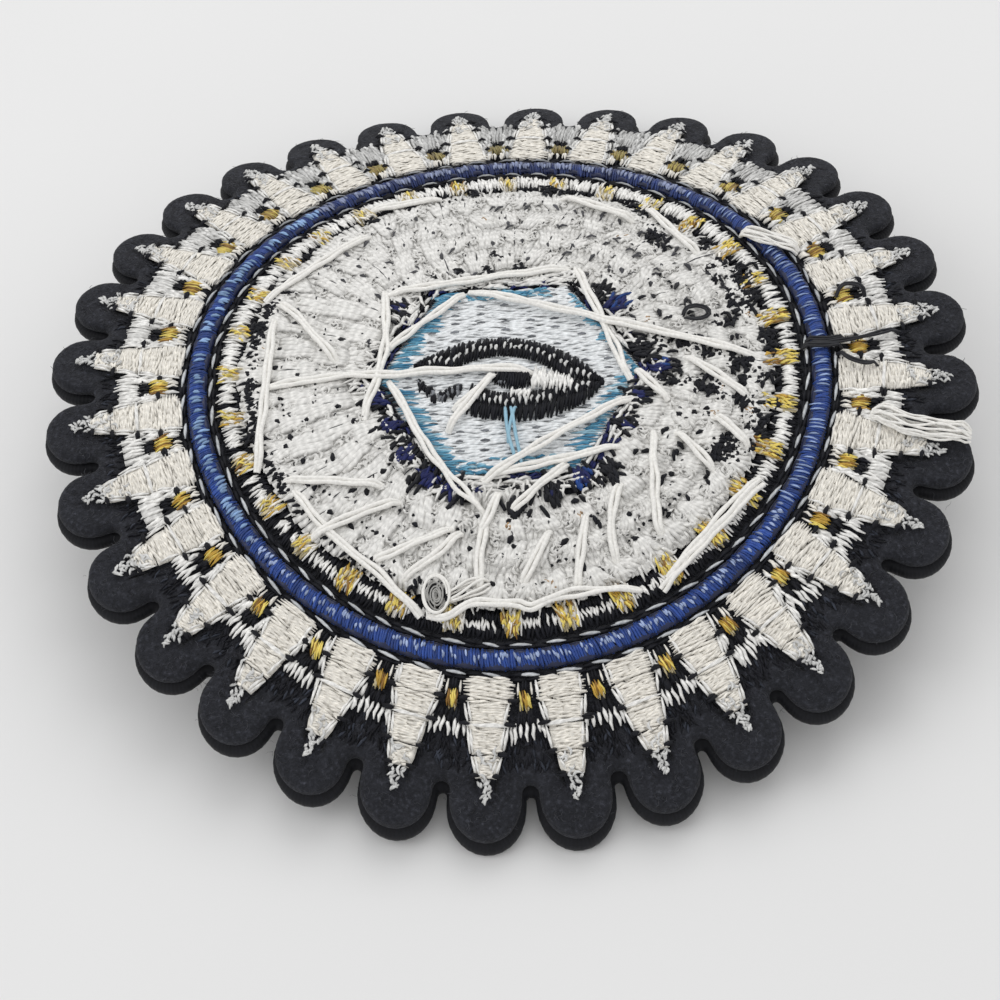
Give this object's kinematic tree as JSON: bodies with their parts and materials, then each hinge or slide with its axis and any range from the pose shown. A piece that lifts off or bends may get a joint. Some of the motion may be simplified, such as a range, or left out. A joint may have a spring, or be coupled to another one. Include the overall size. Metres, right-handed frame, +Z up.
{
  "type": "embroidered patch",
  "caption": "Round embroidered patch with a scalloped edge, arched and lying reverse side up: white petals, a raised blue ring and an almond eye in a hexagon.",
  "frame": {"origin": "on the surface that the patch rests on, under the middle of its bounding box", "axes": "+X along the crest of the arch, +Y away from the edge nearest the viewer, +Z up, out of the patch's reverse side"},
  "size_m": [0.0996, 0.0996, 0.016],
  "materials": {
    "black_cloth": "matt brushed felt-like cloth",
    "black_satin": "close satin stitches, soft sheen",
    "black_thread": "satin-stitched polyester thread, soft sheen",
    "white_thread": "satin-stitched polyester thread, soft sheen",
    "blue_thread": "satin-stitched polyester thread, clear sheen",
    "navy_thread": "satin-stitched polyester thread, soft sheen",
    "pale_blue_thread": "white and light blue stitched thread, soft sheen",
    "gold_thread": "metallic gold thread, glinting"
  },
  "bodies": {
    "root": {"ground_cloth": "black_cloth", "edge_border": "black_satin", "ring_outline_outer": "black_thread", "ring_outline_inner": "black_thread", "blue_ring": "blue_thread", "inner_band": "black_thread", "gold_patches": "gold_thread", "gold_tufts": "gold_thread", "stitched_field": "white_thread", "hexagon_border": "navy_thread", "hexagon_panel": "pale_blue_thread", "eye_outline": "black_thread", "pupil": "black_thread", "face_petals": "white_thread", "face_ring": "blue_thread", "face_field": "white_thread", "face_hexagon": "navy_thread", "face_eye": "black_thread", "petal_01": "white_thread", "petal_02": "white_thread", "petal_03": "white_thread", "petal_04": "white_thread", "petal_05": "white_thread", "petal_06": "white_thread", "petal_07": "white_thread", "petal_08": "white_thread", "petal_09": "white_thread", "petal_10": "white_thread", "petal_11": "white_thread", "petal_12": "white_thread", "petal_13": "white_thread", "petal_14": "white_thread", "petal_15": "white_thread", "petal_16": "white_thread", "petal_17": "white_thread", "petal_18": "white_thread", "petal_19": "white_thread", "petal_20": "white_thread", "petal_21": "white_thread", "petal_22": "white_thread", "petal_23": "white_thread", "petal_24": "white_thread", "petal_25": "white_thread", "petal_26": "white_thread", "petal_27": "white_thread", "petal_28": "white_thread", "petal_29": "white_thread", "petal_30": "white_thread", "petal_31": "white_thread", "petal_32": "white_thread"}
  },
  "joints": []
}
